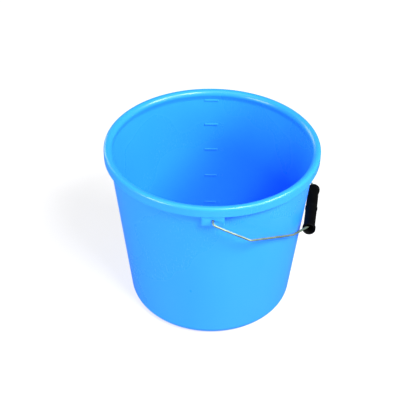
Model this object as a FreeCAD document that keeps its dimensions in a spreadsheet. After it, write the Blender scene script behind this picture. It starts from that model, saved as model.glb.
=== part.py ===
import FreeCAD, Part
import math
import os
import Sketcher

# Round plastic mixing bucket: a one-piece moulded shell with a hollow rolled
# rim, two bail ears and raised inside graduations; a galvanised wire bail
# with hooked ends that swings in the ears; and a moulded hand grip that turns
# on the bail. Millimetres, +Z up, origin at the centre of the base's
# underside, the two ears on the Y axis, the bail hanging towards +X.

doc = FreeCAD.newDocument("MixingBucket")

# ---------------------------------------------------------------------------
# Driving dimensions
# ---------------------------------------------------------------------------
DIMENSIONS = [
    # shell
    ("rim_radius", 190.4, "outer radius of the rim skirt"),
    ("overall_height", 323.2, "floor to top of rim"),
    ("base_radius", 150.5, "outer wall radius carried down to the base plane"),
    ("wall_slope", 0.1003, "outward slope of the wall per unit height"),
    ("wall_thick", 2.6, "side wall thickness"),
    ("floor_thick", 3.4, "bottom thickness"),
    ("skirt_bottom", 305.1, "lower edge of the rim skirt"),
    ("skirt_thick", 2.6, "rim skirt thickness"),
    ("channel_top", 319.8, "ceiling of the hollow rim"),
    ("rim_inner_radius", 176.4, "inner edge of the rolled rim"),
    ("rim_step_low", 304.8, "where the inner wall starts its step to the rim"),
    ("rim_step_high", 313.4, "where the inner wall reaches the rim radius"),
    ("rim_round", 4.8, "rounding of the rolled rim's outer side"),
    ("rim_inner_round", 9.0, "rounding of the rolled rim's inner side"),
    ("channel_round", 2.4, "rounding of the hollow rim's ceiling"),
    ("skirt_round", 1.0, "rounding of the skirt's lower edge"),
    ("base_round", 19.0, "outer rounding of the base corner"),
    ("floor_round", 16.0, "inner rounding of the floor corner"),
    ("recess_outer", 118.0, "outer radius of the shallow ring under the base"),
    ("recess_inner", 42.0, "inner radius of the shallow ring under the base"),
    ("recess_depth", 1.2, "depth of the shallow ring under the base"),
    # graduations
    ("mark_one", 75.1, "height of the first graduation"),
    ("mark_two", 138.1, "height of the second graduation"),
    ("mark_three", 197.0, "height of the third graduation"),
    ("mark_four", 251.6, "height of the fourth graduation"),
    ("mark_five", 302.6, "height of the fifth graduation"),
    ("mark_half", 1.9, "half height of a graduation bar"),
    ("mark_raise", 1.5, "how far a bar stands out of the inner wall"),
    ("mark_root", 1.2, "how far a bar is rooted in the wall"),
    ("mark_angle", 8.8, "angle a bar spans, degrees"),
    # ears
    ("ear_half_width", 19.0, "half width of an ear"),
    ("ear_face", 189.0, "distance of the ear's outer face from the axis"),
    ("ear_back", 177.6, "distance where the ear's cheeks root in the wall"),
    ("ear_thick", 2.6, "ear wall thickness"),
    ("ear_bottom", 288.0, "lower edge of an ear"),
    ("ear_top", 320.4, "where an ear ends inside the rim"),
    ("ear_round", 2.5, "rounding of the ear's upright corners"),
    ("pivot_height", 297.0, "height of the ear holes"),
    ("hole_radius", 3.0, "ear hole radius"),
    # bail, in its own plane: across runs along the pivot line, reach runs
    # away from it
    ("wire_radius", 2.0, "bail wire radius"),
    ("hang_angle", 31.0, "angle of the hanging bail below level, degrees"),
    ("tail_length", 8.5, "length of the hooked tail behind an ear face"),
    ("tail_across", 183.8, "distance of the hooked tail from the axis"),
    ("leg_across", 198.8, "distance of the leg's top bend from the axis"),
    ("shoulder_across", 196.6, "leg, first slight bend, across"),
    ("shoulder_reach", 28.0, "leg, first slight bend, reach"),
    ("knee_across", 191.2, "end of the leg, across"),
    ("knee_reach", 72.6, "end of the leg, reach"),
    ("hip_across", 118.8, "second bend, across"),
    ("hip_reach", 163.2, "second bend, reach"),
    ("far_hip_across", 128.0, "second bend on the far side, across"),
    ("far_hip_reach", 166.0, "second bend on the far side, reach"),
    ("crown_near_across", 68.3, "near end of the grip's straight run, across"),
    ("crown_near_reach", 203.1, "near end of the grip's straight run, reach"),
    ("crown_far_across", 72.0, "far end of the grip's straight run, across"),
    ("crown_far_reach", 229.9, "far end of the grip's straight run, reach"),
    ("bend_hook", 3.2, "centre-line radius of the hook bend"),
    ("bend_eye", 6.0, "centre-line radius of the bend outside the ear"),
    ("bend_shoulder", 30.0, "centre-line radius of the slight bend"),
    ("bend_knee", 9.0, "centre-line radius at the knee and the hip"),
    ("bend_crown", 9.0, "centre-line radius at the grip's ends"),
    # grip
    ("grip_length", 142.0, "length of the grip"),
    ("grip_overhang", 11.1, "how far the grip's near end passes the crown bend"),
    ("grip_radius_mid", 10.6, "grip radius beside the middle ring"),
    ("grip_radius_end", 10.3, "grip radius beside the collars"),
    ("collar_radius", 11.8, "end collar radius"),
    ("collar_width", 7.5, "end collar width"),
    ("ring_radius", 11.4, "middle ring radius"),
    ("ring_half", 2.4, "half width of the middle ring"),
    ("grip_bore", 7.0, "bore radius of the grip"),
    ("mouth_radius", 9.2, "bore radius at the flared mouths"),
    ("mouth_depth", 4.0, "depth of the flared mouths"),
    ("collar_round", 2.3, "rounding of the collars' end edges"),
    ("collar_shoulder", 1.1, "rounding of the collars' edges towards the middle"),
    ("ring_round", 0.6, "rounding of the middle ring's edges"),
]

sheet = doc.addObject("Spreadsheet::Sheet", "Sheet")
VALUES = {}
for row, (alias, value, note) in enumerate(DIMENSIONS, 1):
    sheet.set("A%d" % row, note)
    sheet.set("B%d" % row, repr(float(value)))
    sheet.setAlias("B%d" % row, alias)
    VALUES[alias] = float(value)
doc.recompute()


class Quantity:
    """A number and the sheet expression that gives it, kept together."""

    def __init__(self, value, text):
        self.value = float(value)
        self.text = text

    @staticmethod
    def of(other):
        if isinstance(other, Quantity):
            return other
        return Quantity(other, repr(float(other)))

    def __add__(self, other):
        other = Quantity.of(other)
        return Quantity(self.value + other.value, "(%s + %s)" % (self.text, other.text))

    __radd__ = __add__

    def __sub__(self, other):
        other = Quantity.of(other)
        return Quantity(self.value - other.value, "(%s - %s)" % (self.text, other.text))

    def __rsub__(self, other):
        return Quantity.of(other) - self

    def __mul__(self, other):
        other = Quantity.of(other)
        return Quantity(self.value * other.value, "(%s * %s)" % (self.text, other.text))

    __rmul__ = __mul__

    def __neg__(self):
        return Quantity(-self.value, "(0 - %s)" % self.text)


def q(alias):
    return Quantity(VALUES[alias], "Sheet.%s" % alias)


def plane_of(body, role):
    for feature in body.Origin.OriginFeatures:
        if feature.Role == role:
            return feature
    raise RuntimeError("no %s in %s" % (role, body.Label))


def new_body(label):
    body = doc.addObject("PartDesign::Body", label)
    body.Label = label
    return body


def new_sketch(body, name, role, lift=None):
    """A sketch on one of the body's origin planes, lifted along its normal."""
    sketch = body.newObject("Sketcher::SketchObject", name)
    sketch.AttachmentSupport = (plane_of(body, role), [""])
    sketch.MapMode = "FlatFace"
    if lift is not None:
        lift = Quantity.of(lift)
        sketch.AttachmentOffset = FreeCAD.Placement(
            FreeCAD.Vector(0, 0, lift.value), FreeCAD.Rotation())
        sketch.setExpression("AttachmentOffset.Base.z", lift.text)
    return sketch


def hold(sketch, kind, geo, pos, amount):
    """Hold a point at a signed distance from the sketch's origin."""
    amount = Quantity.of(amount)
    if abs(amount.value) < 1e-9:
        axis = -2 if kind == "DistanceX" else -1
        sketch.addConstraint(Sketcher.Constraint("PointOnObject", geo, pos, axis))
        return
    if amount.value > 0:
        made = Sketcher.Constraint(kind, -1, 1, geo, pos, amount.value)
        text = amount.text
    else:
        made = Sketcher.Constraint(kind, geo, pos, -1, 1, -amount.value)
        text = (-amount).text
    index = sketch.addConstraint(made)
    sketch.setExpression("Constraints[%d]" % index, text)


def trace(sketch, points, closed):
    """Straight runs through the points, with a tangent arc at each point that
    has a radius. points: (x, y) or (x, y, radius)."""
    count = len(points)
    where = [FreeCAD.Vector(Quantity.of(p[0]).value, Quantity.of(p[1]).value, 0) for p in points]
    radii = [p[2] if len(p) > 2 else None for p in points]
    if not closed:
        radii[0] = radii[-1] = None
    trims = []
    for i in range(count):
        if radii[i] is None:
            trims.append((where[i], where[i], None))
            continue
        before = (where[i - 1] - where[i]).normalize()
        after = (where[(i + 1) % count] - where[i]).normalize()
        half = 0.5 * math.acos(max(-1.0, min(1.0, before.dot(after))))
        radius = Quantity.of(radii[i]).value
        reach = radius / math.tan(half)
        bisector = (before + after).normalize()
        centre = where[i] + bisector * (radius / math.sin(half))
        trims.append((where[i] + before * reach, where[i] + after * reach, centre))
    runs = []
    last = count if closed else count - 1
    for i in range(last):
        j = (i + 1) % count
        runs.append(sketch.addGeometry(Part.LineSegment(trims[i][1], trims[j][0]), False))
    for i in range(count):
        incoming = runs[i - 1] if (closed or i > 0) else None
        outgoing = runs[i] if i < len(runs) else None
        if trims[i][2] is None:
            if incoming is not None and outgoing is not None:
                sketch.addConstraint(Sketcher.Constraint("Coincident", incoming, 2, outgoing, 1))
            if outgoing is not None:
                hold(sketch, "DistanceX", outgoing, 1, points[i][0])
                hold(sketch, "DistanceY", outgoing, 1, points[i][1])
            else:
                hold(sketch, "DistanceX", incoming, 2, points[i][0])
                hold(sketch, "DistanceY", incoming, 2, points[i][1])
            continue
        centre = trims[i][2]
        a = math.atan2(trims[i][0].y - centre.y, trims[i][0].x - centre.x)
        b = math.atan2(trims[i][1].y - centre.y, trims[i][1].x - centre.x)
        sweep = (b - a) % (2 * math.pi)
        radius = Quantity.of(radii[i])
        circle = Part.Circle(centre, FreeCAD.Vector(0, 0, 1), radius.value)
        if sweep <= math.pi:
            arc = sketch.addGeometry(Part.ArcOfCircle(circle, a, a + sweep), False)
            first, second = 1, 2
        else:
            sweep = 2 * math.pi - sweep
            arc = sketch.addGeometry(Part.ArcOfCircle(circle, b, b + sweep), False)
            first, second = 2, 1
        corner = sketch.addGeometry(Part.Point(where[i]), True)
        sketch.addConstraint(Sketcher.Constraint("Tangent", incoming, 2, arc, first))
        sketch.addConstraint(Sketcher.Constraint("Tangent", outgoing, 1, arc, second))
        sketch.addConstraint(Sketcher.Constraint("PointOnObject", corner, 1, incoming))
        sketch.addConstraint(Sketcher.Constraint("PointOnObject", corner, 1, outgoing))
        hold(sketch, "DistanceX", corner, 1, points[i][0])
        hold(sketch, "DistanceY", corner, 1, points[i][1])
        index = sketch.addConstraint(Sketcher.Constraint("Radius", arc, radius.value))
        sketch.setExpression("Constraints[%d]" % index, radius.text)


def revolve(body, sketch, name, angle=360.0, text=None, midplane=False):
    made = body.newObject("PartDesign::Revolution", name)
    made.Profile = sketch
    made.ReferenceAxis = (sketch, ["V_Axis"])
    made.Angle = angle
    if text:
        made.setExpression("Angle", text)
    if midplane:
        made.Midplane = True
    sketch.Visibility = False
    return made


def edges_where(shape, test):
    names = []
    for number, edge in enumerate(shape.Edges, 1):
        if test(edge):
            names.append("Edge%d" % number)
    return names


def ring_at(radius, height):
    """A full or split circle about Z of this radius at this height."""
    def test(edge):
        curve = edge.Curve
        if not isinstance(curve, Part.Circle):
            return False
        return (abs(curve.Radius - radius) < 0.02 and abs(curve.Center.z - height) < 0.02
                and abs(curve.Center.x) < 0.02 and abs(curve.Center.y) < 0.02)
    return test


def fillet(body, name, base, rings, alias):
    edges = []
    for ring in rings:
        found = edges_where(base.Shape, ring_at(*ring))
        if not found:
            raise RuntimeError("%s: no edge at %s" % (name, ring))
        edges += found
    made = body.newObject("PartDesign::Fillet", name)
    made.Base = (base, edges)
    made.Radius = VALUES[alias]
    made.setExpression("Radius", "Sheet.%s" % alias)
    doc.recompute()
    return made


# ---------------------------------------------------------------------------
# Bucket shell
# ---------------------------------------------------------------------------
shell = new_body("bucket_shell")

def outer_at(height):
    """Radius of the outer wall at a height."""
    return q("base_radius") + q("wall_slope") * height


def inner_at(height):
    """Radius of the inner wall at a height."""
    return outer_at(height) - q("wall_thick")


section = new_sketch(shell, "ShellSection", "YZ_Plane")
trace(section, [
    (0, 0),
    (q("base_radius"), 0),
    (outer_at(q("skirt_bottom")), q("skirt_bottom")),
    (outer_at(q("skirt_bottom")), q("channel_top")),
    (q("rim_radius") - q("skirt_thick"), q("channel_top")),
    (q("rim_radius") - q("skirt_thick"), q("skirt_bottom")),
    (q("rim_radius"), q("skirt_bottom")),
    (q("rim_radius"), q("overall_height")),
    (q("rim_inner_radius"), q("overall_height")),
    (q("rim_inner_radius"), q("rim_step_high")),
    (inner_at(q("rim_step_low")), q("rim_step_low")),
    (inner_at(q("floor_thick")), q("floor_thick")),
    (0, q("floor_thick")),
], True)
turned = revolve(shell, section, "ShellTurned")
doc.recompute()

R = VALUES["rim_radius"]
H = VALUES["overall_height"]
channel_inner = VALUES["base_radius"] + VALUES["wall_slope"] * VALUES["skirt_bottom"]
skirt_inner = R - VALUES["skirt_thick"]
step = fillet(shell, "RimRollOuter", turned, [(R, H)], "rim_round")
step = fillet(shell, "RimRollInner", step, [(VALUES["rim_inner_radius"], H)], "rim_inner_round")
step = fillet(shell, "ChannelRound", step,
              [(channel_inner, VALUES["channel_top"]), (skirt_inner, VALUES["channel_top"])],
              "channel_round")
step = fillet(shell, "SkirtEdge", step,
              [(R, VALUES["skirt_bottom"]), (skirt_inner, VALUES["skirt_bottom"])],
              "skirt_round")
step = fillet(shell, "BaseCorner", step, [(VALUES["base_radius"], 0)], "base_round")
floor_ring = (VALUES["base_radius"] + VALUES["wall_slope"] * VALUES["floor_thick"]
              - VALUES["wall_thick"], VALUES["floor_thick"])
step = fillet(shell, "FloorCorner", step, [floor_ring], "floor_round")

# shallow ring under the base
recess = new_sketch(shell, "RecessSection", "YZ_Plane")
trace(recess, [
    (q("recess_inner"), -q("recess_depth")),
    (q("recess_outer"), -q("recess_depth")),
    (q("recess_outer"), q("recess_depth")),
    (q("recess_inner"), q("recess_depth")),
], True)
groove = shell.newObject("PartDesign::Groove", "BaseRecess")
groove.Profile = recess
groove.ReferenceAxis = (recess, ["V_Axis"])
groove.Angle = 360
doc.recompute()

# graduation bars on the inner wall, at the far ear
marks = new_sketch(shell, "MarkSections", "YZ_Plane")
for alias in ("mark_one", "mark_two", "mark_three", "mark_four", "mark_five"):
    low = q(alias) - q("mark_half")
    high = q(alias) + q("mark_half")
    trace(marks, [
        (inner_at(low) - q("mark_raise"), low),
        (inner_at(low) + q("mark_root"), low),
        (inner_at(high) + q("mark_root"), high),
        (inner_at(high) - q("mark_raise"), high),
    ], True)
bars = revolve(shell, marks, "MarkBars", VALUES["mark_angle"], "Sheet.mark_angle", True)
doc.recompute()

# ears: a downward extension of the skirt with two cheeks to the wall
ear_plan = new_sketch(shell, "EarPlan", "XY_Plane", q("ear_bottom"))
wide = q("ear_half_width")
narrow = q("ear_half_width") - q("ear_thick")
trace(ear_plan, [
    (-wide, -q("ear_face"), q("ear_round")),
    (wide, -q("ear_face"), q("ear_round")),
    (wide, -q("ear_back")),
    (narrow, -q("ear_back")),
    (narrow, -q("ear_face") + q("ear_thick")),
    (-narrow, -q("ear_face") + q("ear_thick")),
    (-narrow, -q("ear_back")),
    (-wide, -q("ear_back")),
], True)
ear = shell.newObject("PartDesign::Pad", "EarPad")
ear.Profile = ear_plan
ear.Length = VALUES["ear_top"] - VALUES["ear_bottom"]
ear.setExpression("Length", "Sheet.ear_top - Sheet.ear_bottom")
doc.recompute()
before_hole = ear.Shape.Volume

eye_plan = new_sketch(shell, "EarHolePlan", "XZ_Plane", q("ear_back") + 5.4)
ring = eye_plan.addGeometry(Part.Circle(
    FreeCAD.Vector(0, VALUES["pivot_height"], 0), FreeCAD.Vector(0, 0, 1),
    VALUES["hole_radius"]), False)
hold(eye_plan, "DistanceX", ring, 3, 0)
hold(eye_plan, "DistanceY", ring, 3, q("pivot_height"))
index = eye_plan.addConstraint(Sketcher.Constraint("Radius", ring, VALUES["hole_radius"]))
eye_plan.setExpression("Constraints[%d]" % index, "Sheet.hole_radius")
eye = shell.newObject("PartDesign::Pocket", "EarHole")
eye.Profile = eye_plan
eye.Length = 10
eye.Reversed = True
doc.recompute()
cut = before_hole - eye.Shape.Volume
wanted = math.pi * VALUES["hole_radius"] ** 2 * VALUES["ear_thick"]
print("ear hole volume %.2f, wanted %.2f" % (cut, wanted))
if abs(cut - wanted) > 1.0:
    raise RuntimeError("the ear hole cut %.2f, not %.2f" % (cut, wanted))

ears = shell.newObject("PartDesign::Mirrored", "EarMirror")
ears.Originals = [ear, eye]
ears.MirrorPlane = (plane_of(shell, "XZ_Plane"), [""])
shell.Tip = ears
doc.recompute()

# ---------------------------------------------------------------------------
# Wire bail, drawn flat and laid in the plane it hangs in
# ---------------------------------------------------------------------------
bail = new_body("bail_wire")
route = new_sketch(bail, "BailRoute", "XY_Plane")
trace(route, [
    (-q("tail_across"), -q("tail_length")),
    (-q("tail_across"), 0, q("bend_hook")),
    (-q("leg_across"), 0, q("bend_eye")),
    (-q("shoulder_across"), q("shoulder_reach"), q("bend_shoulder")),
    (-q("knee_across"), q("knee_reach"), q("bend_knee")),
    (-q("hip_across"), q("hip_reach"), q("bend_knee")),
    (-q("crown_near_across"), q("crown_near_reach"), q("bend_crown")),
    (q("crown_far_across"), q("crown_far_reach"), q("bend_crown")),
    (q("far_hip_across"), q("far_hip_reach"), q("bend_knee")),
    (q("knee_across"), q("knee_reach"), q("bend_knee")),
    (q("shoulder_across"), q("shoulder_reach"), q("bend_shoulder")),
    (q("leg_across"), 0, q("bend_eye")),
    (q("tail_across"), 0, q("bend_hook")),
    (q("tail_across"), -q("tail_length")),
], False)
wire_end = new_sketch(bail, "WireSection", "XZ_Plane", q("tail_length"))
ring = wire_end.addGeometry(Part.Circle(
    FreeCAD.Vector(-VALUES["tail_across"], 0, 0), FreeCAD.Vector(0, 0, 1),
    VALUES["wire_radius"]), False)
hold(wire_end, "DistanceX", ring, 3, -q("tail_across"))
hold(wire_end, "DistanceY", ring, 3, 0)
index = wire_end.addConstraint(Sketcher.Constraint("Radius", ring, VALUES["wire_radius"]))
wire_end.setExpression("Constraints[%d]" % index, "Sheet.wire_radius")
doc.recompute()
pipe = bail.newObject("PartDesign::AdditivePipe", "BailPipe")
pipe.Profile = wire_end
pipe.Spine = (route, [])
doc.recompute()
swept = route.Shape.Length * math.pi * VALUES["wire_radius"] ** 2
print("bail length %.1f, volume %.1f, section times length %.1f"
      % (route.Shape.Length, pipe.Shape.Volume, swept))
if abs(pipe.Shape.Volume - swept) > 0.01 * swept:
    raise RuntimeError("the bail's volume is not its section times its length")

# across is the row's Y, reach runs outwards and down by the hang angle
hang = math.radians(VALUES["hang_angle"])
across = FreeCAD.Vector(0, 1, 0)
reach = FreeCAD.Vector(math.cos(hang), 0, -math.sin(hang))
normal = across.cross(reach)
pivot = FreeCAD.Vector(0, 0, VALUES["pivot_height"])
bail.Placement = FreeCAD.Placement(pivot, FreeCAD.Rotation(across, reach, normal, "XYZ"))
bail.setExpression("Placement.Base.z", "Sheet.pivot_height")

# ---------------------------------------------------------------------------
# Hand grip, turned about the bail's straight run
# ---------------------------------------------------------------------------
grip = new_body("hand_grip")
half = 0.5 * q("grip_length")
grip_section = new_sketch(grip, "GripSection", "YZ_Plane")
trace(grip_section, [
    (q("mouth_radius"), -half),
    (q("collar_radius"), -half, q("collar_round")),
    (q("collar_radius"), -half + q("collar_width"), q("collar_shoulder")),
    (q("grip_radius_end"), -half + q("collar_width")),
    (q("grip_radius_mid"), -q("ring_half")),
    (q("ring_radius"), -q("ring_half"), q("ring_round")),
    (q("ring_radius"), q("ring_half"), q("ring_round")),
    (q("grip_radius_mid"), q("ring_half")),
    (q("grip_radius_end"), half - q("collar_width")),
    (q("collar_radius"), half - q("collar_width"), q("collar_shoulder")),
    (q("collar_radius"), half, q("collar_round")),
    (q("mouth_radius"), half),
    (q("grip_bore"), half - q("mouth_depth")),
    (q("grip_bore"), -half + q("mouth_depth")),
], True)
turned_grip = revolve(grip, grip_section, "GripTurned")
doc.recompute()
near = FreeCAD.Vector(-VALUES["crown_near_across"], VALUES["crown_near_reach"], 0)
far = FreeCAD.Vector(VALUES["crown_far_across"], VALUES["crown_far_reach"], 0)
run = (far - near).normalize()
middle = near + run * (0.5 * VALUES["grip_length"] - VALUES["grip_overhang"])
run_row = across * run.x + reach * run.y
middle_row = pivot + across * middle.x + reach * middle.y
side = normal
grip.Placement = FreeCAD.Placement(
    middle_row, FreeCAD.Rotation(side, run_row.cross(side), run_row, "ZXY"))
doc.recompute()
print("grip middle", tuple(round(c, 3) for c in middle_row), "axis", tuple(round(c, 5) for c in run_row))

# ---------------------------------------------------------------------------
# Checks and export
# ---------------------------------------------------------------------------
for thing in doc.Objects:
    bad = [s for s in thing.State if s in ("Invalid", "Error")]
    if bad:
        raise RuntimeError("%s is %s" % (thing.Label, bad))
os.makedirs("parts", exist_ok=True)
for piece in (shell, bail, grip):
    shape = piece.Shape
    if shape.isNull() or not shape.isValid():
        raise RuntimeError("%s has a bad shape" % piece.Label)
    if len(shape.Solids) != 1:
        raise RuntimeError("%s has %d solids" % (piece.Label, len(shape.Solids)))
for piece in (shell, bail, grip):
    shape = piece.Shape
    box = shape.BoundBox
    print("%s volume %.1f faces %d box x %.2f..%.2f y %.2f..%.2f z %.2f..%.2f" % (
        piece.Label, shape.Volume, len(shape.Faces), box.XMin, box.XMax,
        box.YMin, box.YMax, box.ZMin, box.ZMax))
    shape.exportStep("parts/%s.step" % piece.Label)
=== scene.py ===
import math

import bmesh
import bpy
from mathutils import Matrix, Vector


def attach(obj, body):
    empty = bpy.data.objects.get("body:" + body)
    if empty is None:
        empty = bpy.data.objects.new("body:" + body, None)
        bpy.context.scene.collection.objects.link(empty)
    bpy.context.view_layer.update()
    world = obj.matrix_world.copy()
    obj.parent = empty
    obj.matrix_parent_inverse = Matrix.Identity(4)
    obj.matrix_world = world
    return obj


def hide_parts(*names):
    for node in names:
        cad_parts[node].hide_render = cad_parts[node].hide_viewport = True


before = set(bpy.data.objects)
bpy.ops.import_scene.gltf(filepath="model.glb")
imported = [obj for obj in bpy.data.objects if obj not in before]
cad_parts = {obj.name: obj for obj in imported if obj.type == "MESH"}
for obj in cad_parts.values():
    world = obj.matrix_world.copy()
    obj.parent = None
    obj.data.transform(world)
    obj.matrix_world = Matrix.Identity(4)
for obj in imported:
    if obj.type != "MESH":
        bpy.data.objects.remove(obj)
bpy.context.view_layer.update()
MM = 0.001

# ---------------------------------------------------------------------------
# Sizes of the object, in millimetres, as in the CAD model
# ---------------------------------------------------------------------------
RIM_R, HEIGHT = 190.4, 323.2
BASE_R, SLOPE = 150.5, 0.1003
WALL, FLOOR = 2.6, 3.4
SKIRT_Z, SKIRT_T, CHANNEL_Z = 305.1, 2.6, 319.8
RIM_IN, STEP_LOW, STEP_HIGH = 176.4, 304.8, 313.4
PIVOT_Z = 297.0
MARKS = [(75.1, "5"), (138.1, "10"), (197.0, "15"), (251.6, "20"), (302.6, "25")]


def outer_at(z):
    return BASE_R + SLOPE * z


def inner_at(z):
    return outer_at(z) - WALL


# ---------------------------------------------------------------------------
# Mesh helpers
# ---------------------------------------------------------------------------
def rounded(points, closed, per_turn=20, hold=0.0):
    """Points (x, y[, radius]) to a polyline with an arc at each radius. hold
    adds a point this far inside each long straight run, so that smooth
    shading stays flat on it."""
    n = len(points)
    pts = [Vector((p[0], p[1])) for p in points]
    out = []
    for i in range(n):
        radius = points[i][2] if len(points[i]) > 2 else 0.0
        ends = not closed and (i == 0 or i == n - 1)
        if radius <= 0 or ends:
            out.append([pts[i]])
            continue
        a = (pts[i - 1] - pts[i]).normalized()
        b = (pts[(i + 1) % n] - pts[i]).normalized()
        half = 0.5 * math.acos(max(-1.0, min(1.0, a.dot(b))))
        reach = radius / math.tan(half)
        centre = pts[i] + (a + b).normalized() * (radius / math.sin(half))
        start = pts[i] + a * reach - centre
        end = pts[i] + b * reach - centre
        turn = math.pi - 2 * half
        steps = max(3, int(math.ceil(per_turn * turn / math.pi * 2)))
        sign = 1.0 if start.x * end.y - start.y * end.x > 0 else -1.0
        arc = []
        for k in range(steps + 1):
            t = sign * turn * k / steps
            arc.append(centre + Vector((start.x * math.cos(t) - start.y * math.sin(t),
                                        start.x * math.sin(t) + start.y * math.cos(t))))
        out.append(arc)
    if hold <= 0:
        return [p for part in out for p in part]
    path = []
    count = len(out)
    for i, part in enumerate(out):
        path += part
        if not closed and i == count - 1:
            break
        p, r = part[-1], out[(i + 1) % count][0]
        length = (r - p).length
        if length > 3 * hold:
            path.append(p + (r - p) * (hold / length))
            path.append(r - (r - p) * (hold / length))
    return path


def lathe(bm, profile, segments, phase=0.0, ridge=None):
    """Turns a closed or axis-to-axis profile of (r, z) about Z. Points on the
    axis become one vertex."""
    rings = []
    for r, z in profile:
        if r < 1e-6:
            rings.append([bm.verts.new((0, 0, z))])
            continue
        ring = []
        for k in range(segments):
            t = phase + 2 * math.pi * k / segments
            rr = r + (ridge(t, r, z) if ridge else 0.0)
            ring.append(bm.verts.new((rr * math.cos(t), rr * math.sin(t), z)))
        rings.append(ring)
    return rings


def bridge(bm, a, b):
    n = max(len(a), len(b))
    for k in range(n):
        m = (k + 1) % n
        if len(a) == 1:
            bm.faces.new((a[0], b[m], b[k]))
        elif len(b) == 1:
            bm.faces.new((a[k], a[m], b[0]))
        else:
            bm.faces.new((a[k], a[m], b[m], b[k]))


def mesh_object(name, bm, matrix=None, scale=MM):
    bmesh.ops.recalc_face_normals(bm, faces=bm.faces)
    mesh = bpy.data.meshes.new(name)
    bm.to_mesh(mesh)
    bm.free()
    mesh.transform(Matrix.Scale(scale, 4))
    if matrix is not None:
        mesh.transform(matrix)
    obj = bpy.data.objects.new(name, mesh)
    bpy.context.scene.collection.objects.link(obj)
    return obj


def settle(obj):
    """Applies the object's modifiers to its mesh."""
    graph = bpy.context.evaluated_depsgraph_get()
    made = bpy.data.meshes.new_from_object(obj.evaluated_get(graph))
    obj.modifiers.clear()
    obj.data = made
    return obj


def smooth(obj, angle=35.0):
    for polygon in obj.data.polygons:
        polygon.use_smooth = True
    obj.data.set_sharp_from_angle(angle=math.radians(angle))
    return obj


def join(name, objects):
    """Several meshes as one object, all at the origin."""
    bm = bmesh.new()
    for obj in objects:
        bm.from_mesh(obj.data)
        bpy.data.objects.remove(obj)
    mesh = bpy.data.meshes.new(name)
    bm.to_mesh(mesh)
    bm.free()
    obj = bpy.data.objects.new(name, mesh)
    bpy.context.scene.collection.objects.link(obj)
    return obj


# ---------------------------------------------------------------------------
# Bucket shell: one moulding with a hollow rolled rim, ears, graduations
# ---------------------------------------------------------------------------
shell_profile = rounded([
    (0, 0),
    (6.0, 0, 0.6), (6.5, 0.7, 0.4), (10.5, 0.7, 0.4), (11.0, 0, 0.6),
    (42.0, 0, 0.5), (42.9, 1.2, 0.5),
    (117.1, 1.2, 0.5), (118.0, 0, 0.5),
    (BASE_R, 0, 19.0),
    (outer_at(SKIRT_Z), SKIRT_Z, 2.0),
    (outer_at(SKIRT_Z), CHANNEL_Z, 2.4),
    (RIM_R - SKIRT_T, CHANNEL_Z, 2.4),
    (RIM_R - SKIRT_T, SKIRT_Z, 1.0),
    (RIM_R, SKIRT_Z, 1.0),
    (RIM_R, HEIGHT, 4.8),
    (RIM_IN, HEIGHT, 9.0),
    (RIM_IN, STEP_HIGH, 3.0),
    (inner_at(STEP_LOW), STEP_LOW, 12.0),
    (inner_at(FLOOR), FLOOR, 16.0),
    (9.0, FLOOR, 1.0), (7.6, FLOOR + 0.8, 1.0),
    (0, FLOOR + 0.8),
], False, per_turn=14, hold=0.5)


def densify(path, longest):
    out = [path[0]]
    for p in path[1:]:
        gap = (p - out[-1]).length
        steps = max(1, int(math.ceil(gap / longest)))
        a = out[-1]
        for k in range(1, steps + 1):
            out.append(a + (p - a) * (k / steps))
    return out


shell_profile = densify(shell_profile, 26.0)
bm = bmesh.new()
rings = lathe(bm, shell_profile, 288)
for first, second in zip(rings, rings[1:]):
    bridge(bm, first, second)
turned = mesh_object("turned", bm)
parts = [turned]

# ears
for side in (-1, 1):
    plan = rounded([
        (-19.0, -189.0, 2.5), (19.0, -189.0, 2.5), (19.0, -177.6), (16.4, -177.6),
        (16.4, -186.4, 0.8), (-16.4, -186.4, 0.8), (-16.4, -177.6), (-19.0, -177.6),
    ], True, per_turn=12)
    bm = bmesh.new()
    low = [bm.verts.new((p.x, p.y, 288.0)) for p in plan]
    high = [bm.verts.new((p.x, p.y, 320.6)) for p in plan]
    bridge(bm, low, high)
    bm.faces.new(low)
    bm.faces.new(high[::-1])
    ear = mesh_object("ear", bm)
    bm = bmesh.new()
    bmesh.ops.create_cone(bm, cap_ends=True, segments=40, radius1=3.0, radius2=3.0, depth=9.0,
                          matrix=Matrix.Translation((0, -187.7, PIVOT_Z))
                          @ Matrix.Rotation(math.radians(90), 4, "X"))
    drill = mesh_object("drill", bm)
    cut = ear.modifiers.new("hole", "BOOLEAN")
    cut.operation = "DIFFERENCE"
    cut.solver = "EXACT"
    cut.object = drill
    settle(ear)
    bpy.data.objects.remove(drill)
    edge = ear.modifiers.new("edge", "BEVEL")
    edge.width = 0.45 * MM
    edge.segments = 3
    edge.limit_method = "ANGLE"
    edge.angle_limit = math.radians(40)
    settle(ear)
    if side > 0:
        ear.data.transform(Matrix.Rotation(math.pi, 4, "Z"))
    parts.append(ear)

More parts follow.
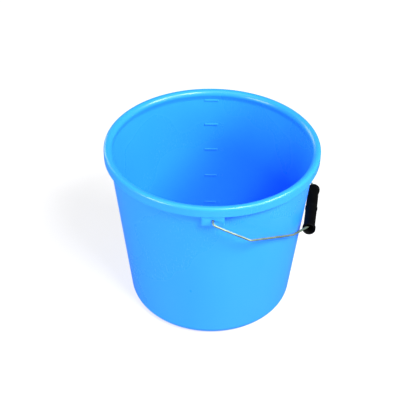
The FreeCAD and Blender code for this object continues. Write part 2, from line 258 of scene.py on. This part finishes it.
# graduation bars: small raised ridges that follow the inner wall
for z, _ in MARKS:
    bm = bmesh.new()
    half_angle = math.radians(4.4)
    section = rounded([(1.2, -1.9), (-1.5, -1.75, 0.6), (-1.5, 1.75, 0.6), (1.2, 1.9)],
                      False, per_turn=12)
    across = 28
    loops = []
    for k in range(across + 1):
        s = -1 + 2 * k / across
        t = math.pi / 2 + half_angle * s
        # the ends run down into the wall over the last millimetre
        end = min(1.0, (1 - abs(s)) * half_angle * 170.0 / 1.0)
        sink = 1.0 - math.sqrt(max(0.0, 1 - (1 - end) ** 2))
        loop = []
        for p in section:
            depth = p.x + (1.6 * sink if p.x < 0.4 else 0.0)
            zz = z + p.y * (1 - 0.25 * sink)
            r = inner_at(zz) + depth
            loop.append(bm.verts.new((r * math.cos(t), r * math.sin(t), zz)))
        loops.append(loop)
    for a, b in zip(loops, loops[1:]):
        for i in range(len(a) - 1):
            bm.faces.new((a[i], a[i + 1], b[i + 1], b[i]))
        bm.faces.new((a[-1], a[0], b[0], b[-1]))
    bm.faces.new(loops[0])
    bm.faces.new(loops[-1][::-1])
    parts.append(mesh_object("bar", bm))

# low numerals beside the bars, generic figures only
for z, figures in MARKS[:-1]:
    curve = bpy.data.curves.new("figures", "FONT")
    curve.body = figures
    curve.size = 10.0
    curve.extrude = 0.55
    curve.bevel_depth = 0.12
    curve.bevel_resolution = 1
    curve.resolution_u = 4
    curve.align_x = "LEFT"
    holder = bpy.data.objects.new("figures", curve)
    bpy.context.scene.collection.objects.link(holder)
    graph = bpy.context.evaluated_depsgraph_get()
    flat = bpy.data.meshes.new_from_object(holder.evaluated_get(graph))
    bpy.data.objects.remove(holder)
    for v in flat.vertices:
        x, y, depth = v.co.x + 15.5, v.co.y, v.co.z
        zz = z - 3.2 + y
        r = inner_at(zz) + 0.33 - depth
        t = math.pi / 2 - x / r
        v.co = Vector((r * math.cos(t), r * math.sin(t), zz)) * MM
    figure = bpy.data.objects.new("figures", flat)
    bpy.context.scene.collection.objects.link(figure)
    parts.append(figure)

bucket = join("bucket_moulding", parts)
smooth(bucket, 38)
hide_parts("bucket_shell")
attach(bucket, "bucket")

# ---------------------------------------------------------------------------
# Bail wire: a planar bent rod, laid in the plane in which it hangs
# ---------------------------------------------------------------------------
HANG = math.radians(31.0)
ACROSS = Vector((0, 1, 0))
REACH = Vector((math.cos(HANG), 0, -math.sin(HANG)))
NORMAL = ACROSS.cross(REACH)
PIVOT = Vector((0, 0, PIVOT_Z))
route = rounded([
    (-183.8, -8.5),
    (-183.8, 0, 3.2), (-198.8, 0, 6.0), (-196.6, 28.0, 30.0), (-191.2, 72.6, 9.0),
    (-118.8, 163.2, 9.0), (-68.3, 203.1, 9.0),
    (72.0, 229.9, 9.0), (128.0, 166.0, 9.0), (191.2, 72.6, 9.0),
    (196.6, 28.0, 30.0), (198.8, 0, 6.0), (183.8, 0, 3.2),
    (183.8, -8.5),
], False, per_turn=26, hold=0.8)
route = densify(route, 6.0)

bm = bmesh.new()
SIDES = 24
WIRE_R = 2.0
loops = []
count = len(route)
for i, p in enumerate(route):
    a = route[max(0, i - 1)]
    b = route[min(count - 1, i + 1)]
    tangent = (b - a).normalized()
    side_dir = Vector((-tangent.y, tangent.x))
    loop = []
    for k in range(SIDES):
        t = 2 * math.pi * k / SIDES
        c, s = math.cos(t) * WIRE_R, math.sin(t) * WIRE_R
        flat = p + side_dir * c
        loop.append(bm.verts.new(PIVOT + ACROSS * flat.x + REACH * flat.y + NORMAL * s))
    loops.append(loop)
for a, b in zip(loops, loops[1:]):
    bridge(bm, a, b)
for loop, inner in ((loops[0], loops[1]), (loops[-1], loops[-2])):
    # sheared end with a rounded edge
    centre = sum((v.co for v in loop), Vector()) / SIDES
    out = (centre - sum((v.co for v in inner), Vector()) / SIDES).normalized()
    for v in loop:
        v.co = v.co - out * 0.5
    previous = loop
    for k in range(1, 5):
        t = math.radians(90 * k / 4)
        ring = []
        for v in loop:
            away = (v.co - (centre - out * 0.5))
            ring.append(bm.verts.new(centre - out * 0.5 + away * (1 - 0.25 * (1 - math.cos(t)))
                                     + out * 0.5 * math.sin(t)))
        bridge(bm, previous, ring)
        previous = ring
    bm.faces.new(previous)
wire = mesh_object("bail_rod", bm)
smooth(wire, 50)
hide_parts("bail_wire")
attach(wire, "bail")

# ---------------------------------------------------------------------------
# Hand grip: a moulded tube with collars, a middle ring and flared mouths
# ---------------------------------------------------------------------------
HALF = 71.0
near = Vector((-68.3, 203.1))
far = Vector((72.0, 229.9))
run = (far - near).normalized()
middle = near + run * (HALF - 11.1)
GRIP_AXIS = (ACROSS * run.x + REACH * run.y).normalized()
GRIP_MIDDLE = PIVOT + ACROSS * middle.x + REACH * middle.y
grip_profile = rounded([
    (9.2, -HALF, 0.6),
    (11.8, -HALF, 1.9), (11.8, -HALF + 7.5, 1.0), (10.3, -HALF + 7.5, 0.3),
    (10.6, -2.4, 0.2), (11.4, -2.4, 0.5), (11.4, 2.4, 0.5), (10.6, 2.4, 0.2),
    (10.3, HALF - 7.5, 0.3), (11.8, HALF - 7.5, 1.0), (11.8, HALF, 1.9),
    (9.2, HALF, 0.6), (7.0, HALF - 4.0, 1.5), (7.0, -HALF + 4.0, 1.5),
], True, per_turn=14, hold=0.35)


def parting(t, r, z):
    """A low parting line along two sides of the outside."""
    if r < 10.0 or r > 11.3:
        return 0.0
    off = abs(math.atan2(math.sin(2 * t), math.cos(2 * t))) / 2
    return 0.11 * math.exp(-(off / 0.022) ** 2)


bm = bmesh.new()
rings = lathe(bm, [(p.x, p.y) for p in grip_profile], 180, ridge=parting)
for first, second in zip(rings, rings[1:] + rings[:1]):
    bridge(bm, first, second)
turn = Matrix((
    (*NORMAL, 0), (*GRIP_AXIS.cross(NORMAL), 0), (*GRIP_AXIS, 0), (0, 0, 0, 1))).transposed()
place = Matrix.Translation(GRIP_MIDDLE * MM) @ turn
grip = mesh_object("grip_tube", bm, place)
smooth(grip, 40)
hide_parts("hand_grip")
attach(grip, "grip")


# ---------------------------------------------------------------------------
# Materials
# ---------------------------------------------------------------------------
def material(name):
    mat = bpy.data.materials.new(name)
    mat.use_nodes = True
    tree = mat.node_tree
    shader = tree.nodes["Principled BSDF"]
    return mat, tree, shader


def node(tree, kind, **settings):
    made = tree.nodes.new(kind)
    for key, value in settings.items():
        if key in made.inputs.keys():
            made.inputs[key].default_value = value
        else:
            setattr(made, key, value)
    return made


def coordinates(tree, scale=(1, 1, 1)):
    where = node(tree, "ShaderNodeTexCoord")
    mapping = node(tree, "ShaderNodeMapping")
    mapping.inputs["Scale"].default_value = scale
    tree.links.new(where.outputs["Object"], mapping.inputs["Vector"])
    return mapping.outputs["Vector"]


def noise(tree, vector, scale, detail=3.0, rough=0.5, distortion=0.0):
    made = node(tree, "ShaderNodeTexNoise")
    made.inputs["Scale"].default_value = scale
    made.inputs["Detail"].default_value = detail
    made.inputs["Roughness"].default_value = rough
    made.inputs["Distortion"].default_value = distortion
    tree.links.new(vector, made.inputs["Vector"])
    return made.outputs["Fac"]


def ramp(tree, value, low, high, out_low=0.0, out_high=1.0):
    made = node(tree, "ShaderNodeMapRange")
    made.inputs["From Min"].default_value = low
    made.inputs["From Max"].default_value = high
    made.inputs["To Min"].default_value = out_low
    made.inputs["To Max"].default_value = out_high
    tree.links.new(value, made.inputs["Value"])
    return made.outputs["Result"]


def math_node(tree, operation, a, b):
    made = node(tree, "ShaderNodeMath", operation=operation)
    for index, value in enumerate((a, b)):
        if isinstance(value, (int, float)):
            made.inputs[index].default_value = value
        else:
            tree.links.new(value, made.inputs[index])
    return made.outputs[0]


def mix_colour(tree, factor, a, b):
    made = node(tree, "ShaderNodeMix", data_type="RGBA")
    tree.links.new(factor, made.inputs["Factor"])
    for socket, value in (("A", a), ("B", b)):
        target = [s for s in made.inputs if s.name == socket and s.type == "RGBA"][0]
        if isinstance(value, tuple):
            target.default_value = (*value, 1)
        else:
            tree.links.new(value, target)
    return [s for s in made.outputs if s.type == "RGBA"][0]


def bump(tree, height, strength, distance, previous=None):
    made = node(tree, "ShaderNodeBump")
    made.inputs["Strength"].default_value = strength
    made.inputs["Distance"].default_value = distance
    tree.links.new(height, made.inputs["Height"])
    if previous is not None:
        tree.links.new(previous, made.inputs["Normal"])
    return made.outputs["Normal"]


BLUE = (0.020, 0.216, 1.0)
BLUE_DEEP = (0.014, 0.198, 0.97)
BLUE_SCUFF = (0.050, 0.275, 1.0)

mat, tree, shader = material("blue_moulded_plastic")
vector = coordinates(tree)
long_vector = coordinates(tree, (1, 1, 0.08))
flow = noise(tree, long_vector, 9.0, 3.0, 0.55, 0.4)
cloud = noise(tree, vector, 5.0, 2.0, 0.5)
scuff_a = noise(tree, coordinates(tree, (60, 60, 9)), 9.0, 5.0, 0.65)
scuff_b = noise(tree, coordinates(tree, (14, 14, 90)), 8.0, 5.0, 0.65)
scuffs = math_node(tree, "MAXIMUM", ramp(tree, scuff_a, 0.56, 0.80), ramp(tree, scuff_b, 0.58, 0.82))
patch = ramp(tree, noise(tree, vector, 9.0, 1.0), 0.30, 0.80)
scuffs = math_node(tree, "MULTIPLY", scuffs, patch)
tone = mix_colour(tree, ramp(tree, math_node(tree, "ADD", math_node(tree, "MULTIPLY", flow, 0.6),
                                             math_node(tree, "MULTIPLY", cloud, 0.4)),
                             0.2, 0.8), BLUE_DEEP, BLUE)
tone = mix_colour(tree, math_node(tree, "MULTIPLY", scuffs, 0.30), tone, BLUE_SCUFF)
tree.links.new(tone, shader.inputs["Base Color"])
rough = ramp(tree, cloud, 0.1, 0.9, 0.22, 0.36)
rough = math_node(tree, "ADD", rough, math_node(tree, "MULTIPLY", scuffs, 0.08))
tree.links.new(rough, shader.inputs["Roughness"])
grain = noise(tree, vector, 900.0, 2.0, 0.5)
swell = noise(tree, vector, 38.0, 2.0, 0.5)
normal = bump(tree, swell, 0.10, 0.0008)
normal = bump(tree, grain, 0.10, 0.00012, normal)
tree.links.new(normal, shader.inputs["Normal"])
shader.inputs["IOR"].default_value = 1.49
shader.inputs["Specular IOR Level"].default_value = 0.30
shader.inputs["Coat Weight"].default_value = 0.08
shader.inputs["Coat Roughness"].default_value = 0.10
blue = mat

mat, tree, shader = material("zinc_wire_finish")
vector = coordinates(tree)
spangle = node(tree, "ShaderNodeTexVoronoi")
spangle.inputs["Scale"].default_value = 420.0
tree.links.new(vector, spangle.inputs["Vector"])
dull = noise(tree, vector, 60.0, 4.0, 0.6)
streak = noise(tree, vector, 260.0, 3.0, 0.6, 0.8)
tone = mix_colour(tree, ramp(tree, dull, 0.38, 0.62), (0.17, 0.24, 0.18), (0.26, 0.34, 0.26))
tone = mix_colour(tree, math_node(tree, "MULTIPLY", ramp(tree, streak, 0.52, 0.72), 0.35), tone,
                  (0.14, 0.17, 0.13))
tree.links.new(tone, shader.inputs["Base Color"])
rough = ramp(tree, spangle.outputs["Distance"], 0.0, 0.6, 0.48, 0.62)
tree.links.new(rough, shader.inputs["Roughness"])
normal = bump(tree, streak, 0.12, 0.0001)
tree.links.new(normal, shader.inputs["Normal"])
shader.inputs["Metallic"].default_value = 1.0
zinc = mat

mat, tree, shader = material("black_grip_plastic")
vector = coordinates(tree)
cloud = noise(tree, vector, 40.0, 4.0, 0.6)
rub = noise(tree, coordinates(tree, (3, 0.4, 3)), 60.0, 5.0, 0.7)
rubbed = ramp(tree, rub, 0.58, 0.72)
tone = mix_colour(tree, ramp(tree, cloud, 0.4, 0.6), (0.0008, 0.0009, 0.0010), (0.0016, 0.0018, 0.0020))
tone = mix_colour(tree, math_node(tree, "MULTIPLY", rubbed, 0.25), tone, (0.004, 0.0045, 0.005))
tree.links.new(tone, shader.inputs["Base Color"])
rough = ramp(tree, cloud, 0.35, 0.65, 0.52, 0.64)
rough = math_node(tree, "ADD", rough, math_node(tree, "MULTIPLY", rubbed, 0.10))
tree.links.new(rough, shader.inputs["Roughness"])
grain = noise(tree, vector, 1500.0, 2.0, 0.5)
normal = bump(tree, grain, 0.18, 0.00008)
tree.links.new(normal, shader.inputs["Normal"])
shader.inputs["IOR"].default_value = 1.45
shader.inputs["Specular IOR Level"].default_value = 0.03
black = mat

for obj, finish in ((bucket, blue), (wire, zinc), (grip, black)):
    obj.data.materials.clear()
    obj.data.materials.append(finish)

# ---------------------------------------------------------------------------
# Stage, lights, camera
# ---------------------------------------------------------------------------
bm = bmesh.new()
bmesh.ops.create_grid(bm, x_segments=1, y_segments=1, size=6.0)
floor = mesh_object("floor", bm, scale=1.0)
floor.location.z = -0.0002
mat, tree, shader = material("pale_floor")
cloud = noise(tree, coordinates(tree), 3.0, 3.0)
tone = mix_colour(tree, cloud, (0.20, 0.20, 0.20), (0.22, 0.22, 0.22))
tree.links.new(tone, shader.inputs["Base Color"])
shader.inputs["Emission Color"].default_value = (1, 1, 1, 1)
shader.inputs["Emission Strength"].default_value = 0.70
shader.inputs["Roughness"].default_value = 0.75
shader.inputs["Specular IOR Level"].default_value = 0.2
floor.data.materials.append(mat)
floor.visible_glossy = False


def softbox(name, at, aim, size, watts, colour=(1, 1, 1), size_y=None):
    light = bpy.data.lights.new(name, "AREA")
    light.shape = "RECTANGLE"
    light.size = size
    light.size_y = size_y or size
    light.energy = watts
    light.color = colour
    obj = bpy.data.objects.new(name, light)
    bpy.context.scene.collection.objects.link(obj)
    obj.location = at
    obj.rotation_mode = "QUATERNION"
    obj.rotation_quaternion = (Vector(aim) - Vector(at)).to_track_quat("-Z", "Y")
    return obj


softbox("key", (2.2, -0.9, 2.0), (0, 0, 0.25), 1.0, 130.0)
softbox("front", (1.0, -1.7, 2.6), (0, 0, 0.2), 0.8, 126.0)
softbox("top", (-0.8, -0.7, 2.7), (0, 0, 0.2), 2.0, 21.0)
softbox("fill", (-2.2, -1.6, 0.8), (0, 0, 0.15), 1.2, 88.0)
softbox("low", (1.9, -1.7, 0.6), (0, 0, 0.15), 0.9, 14.0)
softbox("back", (-1.9, 2.1, 1.3), (0, 0, 0.2), 1.4, 36.0)

world = bpy.data.worlds.new("studio")
world.use_nodes = True
sky = world.node_tree
dim = sky.nodes["Background"]
dim.inputs["Color"].default_value = (1.0, 1.0, 1.0, 1)
dim.inputs["Strength"].default_value = 0.15
seen = sky.nodes.new("ShaderNodeBackground")
seen.inputs["Color"].default_value = (1.0, 1.0, 1.0, 1)
seen.inputs["Strength"].default_value = 1.0
rays = sky.nodes.new("ShaderNodeLightPath")
either = sky.nodes.new("ShaderNodeMixShader")
sky.links.new(rays.outputs["Is Camera Ray"], either.inputs[0])
sky.links.new(dim.outputs[0], either.inputs[1])
sky.links.new(seen.outputs[0], either.inputs[2])
sky.links.new(either.outputs[0], sky.nodes["World Output"].inputs["Surface"])
scene = bpy.context.scene
scene.world = world
scene.view_settings.view_transform = "Standard"
scene.view_settings.look = "None"
scene.view_settings.exposure = 0.0
scene.view_settings.gamma = 1.0

# the camera looks down at the bucket across its front ear
UNIT = 0.190
DISTANCE, ELEVATION = 8.9433 * UNIT, 0.6644
YAW, PITCH, ROLL = -0.0014, 0.0053, 0.0165
ce, se = math.cos(ELEVATION), math.sin(ELEVATION)
eye = Vector((0, -DISTANCE * ce, DISTANCE * se + 0.1625))
forward = Vector((0, ce, -se))
right = Vector((1, 0, 0))
up = Vector((0, se, ce))
forward, right = (forward * math.cos(YAW) + right * math.sin(YAW),
                  right * math.cos(YAW) - forward * math.sin(YAW))
forward, up = (forward * math.cos(PITCH) + up * math.sin(PITCH),
               up * math.cos(PITCH) - forward * math.sin(PITCH))
right, up = (right * math.cos(ROLL) + up * math.sin(ROLL),
             up * math.cos(ROLL) - right * math.sin(ROLL))
lens = bpy.data.cameras.new("camera")
lens.sensor_width = 36.0
lens.lens = 36.0 * 912.85 / 420.0
lens.clip_start, lens.clip_end = 0.05, 50.0
camera = bpy.data.objects.new("camera", lens)
scene.collection.objects.link(camera)
ORBIT = Matrix.Rotation(math.radians(-0.9), 4, "Z")
camera.matrix_world = ORBIT @ Matrix((
    (right.x, up.x, -forward.x, eye.x),
    (right.y, up.y, -forward.y, eye.y),
    (right.z, up.z, -forward.z, eye.z),
    (0, 0, 0, 1)))
scene.camera = camera

bpy.context.view_layer.update()
